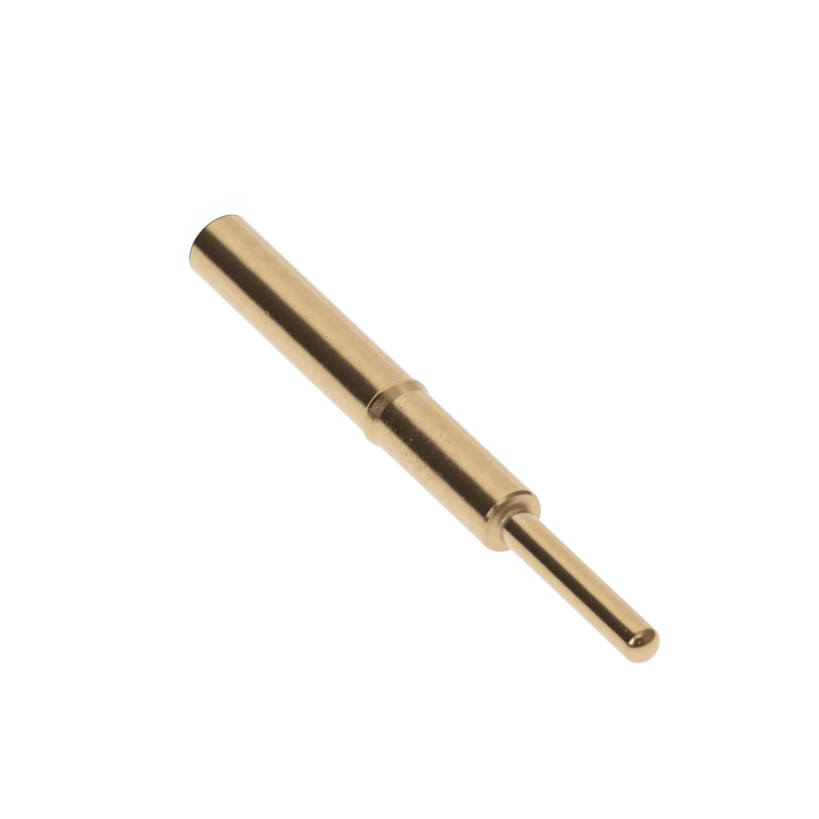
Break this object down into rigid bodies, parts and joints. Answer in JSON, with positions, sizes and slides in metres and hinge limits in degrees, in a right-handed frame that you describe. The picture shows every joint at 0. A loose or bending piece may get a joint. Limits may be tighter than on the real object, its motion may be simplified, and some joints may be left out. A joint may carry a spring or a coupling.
{
  "type": "pc pin terminal",
  "caption": "Turned gold-plated pin terminal with a long shank, a rounded retaining collar and a thin round-nosed pin.",
  "frame": {"origin": "centre of the rear end, on the axis, where the terminal stands", "axes": "+Z along the axis, from the rear end to the nose of the thin pin; X and Y are alike, since the part is turned"},
  "size_m": [0.002, 0.002, 0.0191],
  "materials": {
    "gold_plate": "polished gold plating over turned brass"
  },
  "bodies": {
    "root": {"pin_terminal": "gold_plate"}
  },
  "joints": []
}
